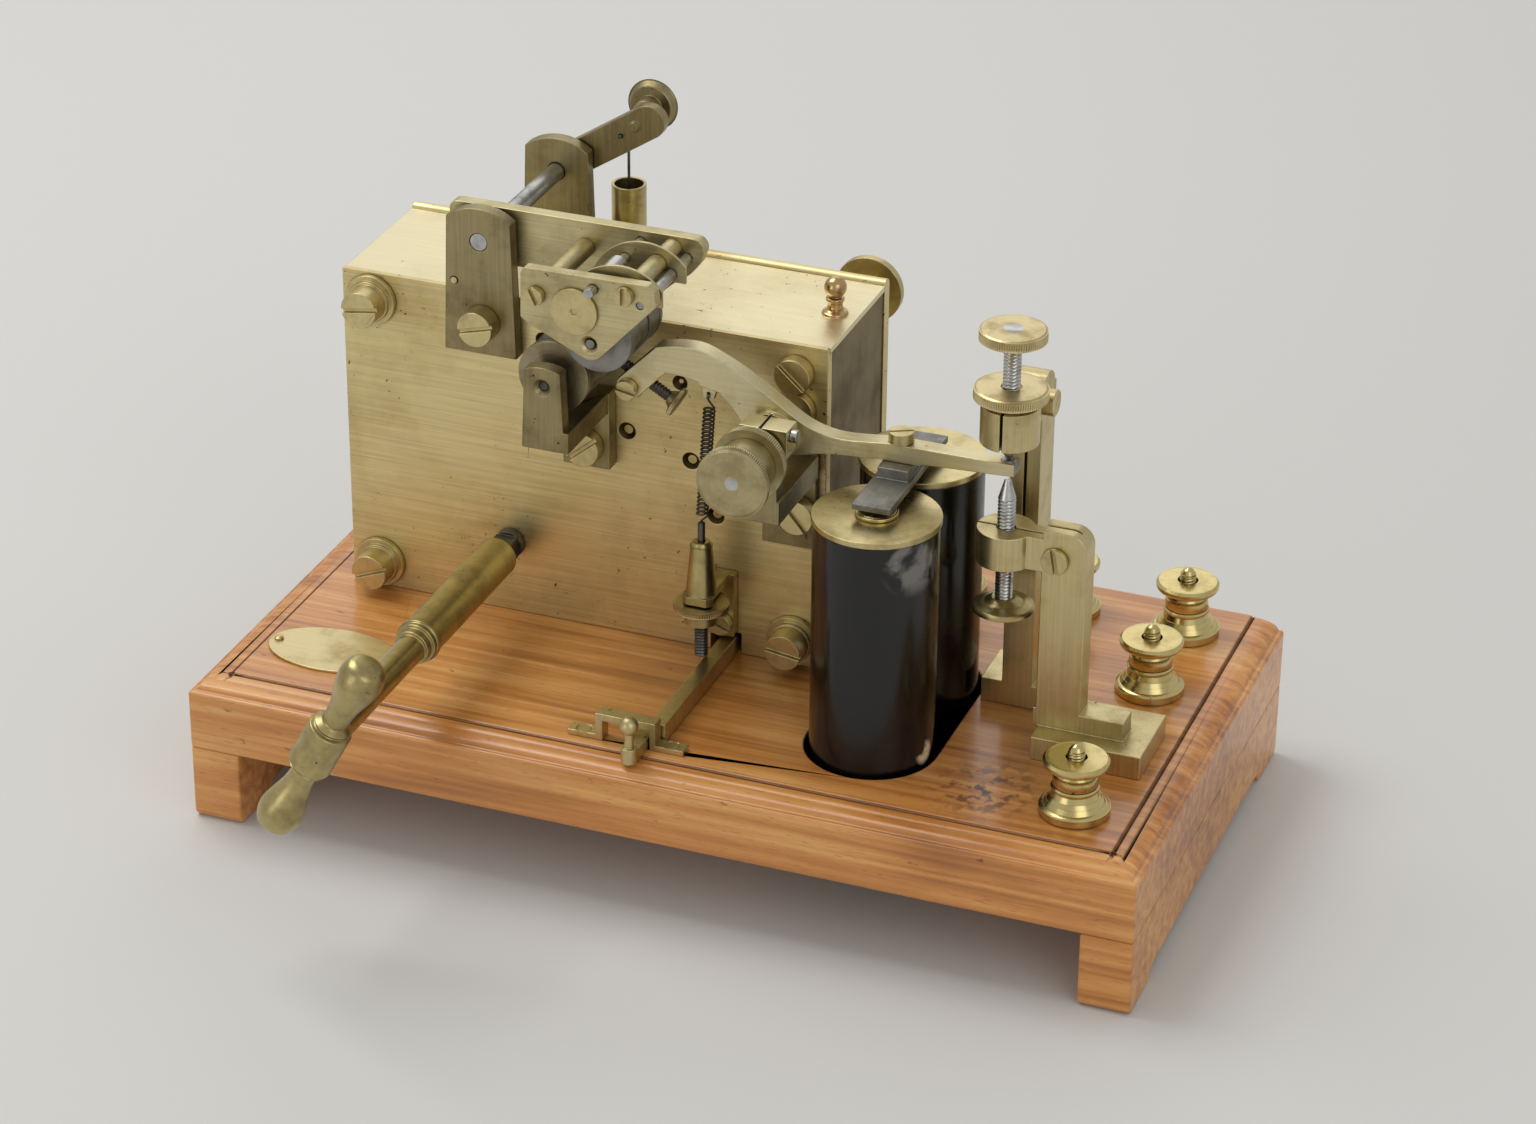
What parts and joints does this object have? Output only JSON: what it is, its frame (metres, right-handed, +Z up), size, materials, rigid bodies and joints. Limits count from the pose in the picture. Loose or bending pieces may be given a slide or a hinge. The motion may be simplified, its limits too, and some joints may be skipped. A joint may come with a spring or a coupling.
{
  "type": "morse tape register",
  "caption": "Clockwork telegraph register on a moulded wooden base: a magnet rocks a lever whose stylus embosses dots and dashes into paper tape drawn between rollers.",
  "frame": {"origin": "centre of the bounding box on the plane that the battens stand on", "axes": "+X along the base towards the terminals, +Y from the front edge to the rear, +Z up"},
  "size_m": [0.32, 0.2392, 0.215],
  "materials": {
    "wood": "French-polished mahogany-like wood",
    "brass": "aged lacquered brass",
    "dull_brass": "dark aged brass",
    "bright_brass": "bright polished brass",
    "steel": "polished steel",
    "dark_steel": "grey aged steel",
    "winding": "glossy black wrap over copper wire"
  },
  "bodies": {
    "frame": {"base_board": "wood", "battens": "wood", "wood_screws": "steel", "name_plate": "dull_brass", "front_plate": "brass", "rear_plate": "brass", "end_plates": "brass", "case_pillars": "brass", "case_screws": "brass", "frame_brackets": "dull_brass", "feed_roller_bracket": "dull_brass", "spring_tube": "brass", "lever_bracket": "dull_brass", "lever_rear_bearing": "brass", "tension_bracket": "dull_brass", "lever_bridge": "dull_brass", "magnet_yoke": "dark_steel", "magnet_cores": "dark_steel", "coil_bobbins": "brass", "coil_windings": "winding", "front_contact_stand": "brass", "rear_contact_post": "brass", "terminal_posts": "brass", "thumb_nuts": "brass", "tube_spring": "dark_steel"},
    "lid": {"top_lid": "bright_brass"},
    "arbor": {"winding_arbor": "steel"},
    "key": {"winding_key": "dull_brass"},
    "barrel": {"mainspring_barrel": "brass", "mainspring": "dark_steel"},
    "second": {"second_wheel": "brass"},
    "centre": {"centre_wheel": "brass"},
    "idler": {"idler_wheel": "brass"},
    "third": {"third_wheel": "brass"},
    "fly": {"fly": "brass"},
    "feed": {"feed_roller": "dark_steel"},
    "click": {"click": "steel"},
    "pressure": {"pressure_shaft": "steel", "pressure_rear_plate": "brass", "pressure_front_plate": "brass", "frame_pillars": "brass", "frame_screws": "brass", "guide_cheeks": "brass", "guide_pin": "steel", "rear_arm": "dull_brass"},
    "embosser": {"embossing_roller": "steel"},
    "guide": {"guide_roller": "steel"},
    "lever": {"writing_lever": "brass", "lever_arbor": "steel", "armature": "brass", "lever_screws": "steel", "stylus": "dark_steel"},
    "bearing": {"bearing_screw": "brass"},
    "nut": {"tension_nut": "brass"},
    "rod": {"tension_rod": "steel", "tension_spring": "dark_steel"},
    "stop": {"stop_lever": "brass"},
    "lock": {"contact_lock_nut": "brass"},
    "upper_contact": {"upper_contact_screw": "brass"},
    "lower_contact": {"lower_contact_screw": "brass"}
  },
  "joints": [
    {"name": "lid_slide", "type": "slide", "parent": "frame", "child": "lid", "axis": [1, 0, 0], "range_m": [0, 0.055]},
    {"name": "arbor_turn", "type": "hinge", "parent": "frame", "child": "arbor", "pos_m": [-0.0817, 0.05763, 0.0767], "axis": [0, -1, 0], "continuous": true},
    {"name": "key_pull", "type": "slide", "parent": "arbor", "child": "key", "axis": [0, -1, 0], "range_m": [0, 0.02]},
    {"name": "centre_turn", "type": "hinge", "parent": "frame", "child": "centre", "pos_m": [-0.04, 0.05763, 0.1251], "axis": [0, 1, 0], "continuous": true},
    {"name": "barrel_turn", "type": "hinge", "parent": "frame", "child": "barrel", "pos_m": [-0.0817, 0.05763, 0.0767], "axis": [0, 1, 0], "continuous": true},
    {"name": "second_turn", "type": "hinge", "parent": "frame", "child": "second", "pos_m": [-0.05891, 0.05763, 0.09845], "axis": [0, 1, 0], "continuous": true},
    {"name": "idler_turn", "type": "hinge", "parent": "frame", "child": "idler", "pos_m": [-0.06258, 0.05763, 0.14123], "axis": [0, 1, 0], "continuous": true},
    {"name": "third_turn", "type": "hinge", "parent": "frame", "child": "third", "pos_m": [-0.0178, 0.05763, 0.1184], "axis": [0, 1, 0], "continuous": true},
    {"name": "fly_turn", "type": "hinge", "parent": "frame", "child": "fly", "pos_m": [-0.0091, 0.05763, 0.1002], "axis": [0, 1, 0], "continuous": true},
    {"name": "feed_turn", "type": "hinge", "parent": "frame", "child": "feed", "pos_m": [-0.0532, 0.05763, 0.1548], "axis": [0, 1, 0], "continuous": true},
    {"name": "click_lift", "type": "hinge", "parent": "frame", "child": "click", "pos_m": [-0.0677, 0.05763, 0.0867], "axis": [0, -1, 0], "range_deg": [0, 10], "stiffness_Nm_per_rad": 0.002, "springref_deg": -17.19},
    {"name": "pressure_open", "type": "hinge", "parent": "frame", "child": "pressure", "pos_m": [-0.089, 0.05763, 0.1852], "axis": [0, -1, 0], "range_deg": [0, 20], "deforming": ["tube_spring"]},
    {"name": "embosser_turn", "type": "hinge", "parent": "pressure", "child": "embosser", "pos_m": [-0.0369, 0.05763, 0.1726], "axis": [0, 1, 0], "continuous": true},
    {"name": "guide_turn", "type": "hinge", "parent": "pressure", "child": "guide", "pos_m": [-0.0199, 0.05763, 0.1887], "axis": [0, 1, 0], "continuous": true},
    {"name": "lever_rock", "type": "hinge", "parent": "frame", "child": "lever", "pos_m": [0.018, 0.01383, 0.1435], "axis": [0, 1, 0], "range_deg": [0, 0.9], "stiffness_Nm_per_rad": 0.4, "springref_deg": -11.46, "deforming": ["tension_spring"]},
    {"name": "bearing_turn", "type": "hinge", "parent": "frame", "child": "bearing", "pos_m": [0.018, -0.01238, 0.1435], "axis": [0, 1, 0], "continuous": true},
    {"name": "nut_turn", "type": "hinge", "parent": "frame", "child": "nut", "pos_m": [-0.0073, 0.01383, 0.076], "axis": [0, 0, 1], "range_deg": [0, 1080]},
    {"name": "rod_lift", "type": "slide", "parent": "frame", "child": "rod", "axis": [0, 0, 1], "range_m": [0, 0.0024], "deforming": ["tension_spring"]},
    {"name": "stop_swing", "type": "hinge", "parent": "frame", "child": "stop", "pos_m": [-0.0038, 0.05763, 0.054], "axis": [0, 0, -1], "range_deg": [0, 5]},
    {"name": "upper_contact_turn", "type": "hinge", "parent": "frame", "child": "upper_contact", "pos_m": [0.0943, 0.01383, 0.18], "axis": [0, 0, 1], "continuous": true},
    {"name": "lower_contact_turn", "type": "hinge", "parent": "frame", "child": "lower_contact", "pos_m": [0.0943, 0.01383, 0.115], "axis": [0, 0, 1], "continuous": true},
    {"name": "lock_turn", "type": "hinge", "parent": "frame", "child": "lock", "pos_m": [0.0943, 0.01383, 0.17], "axis": [0, 0, 1], "continuous": true}
  ],
  "couplings": [
    {"joint": "barrel_turn", "follows": "centre_turn", "ratio": 0.098214},
    {"joint": "second_turn", "follows": "centre_turn", "ratio": -0.34375},
    {"joint": "idler_turn", "follows": "centre_turn", "ratio": -1.8462},
    {"joint": "feed_turn", "follows": "centre_turn", "ratio": 2.6667},
    {"joint": "third_turn", "follows": "centre_turn", "ratio": -5},
    {"joint": "fly_turn", "follows": "centre_turn", "ratio": 30},
    {"joint": "rod_lift", "follows": "nut_turn", "m_per_rad": 0.00012732}
  ]
}
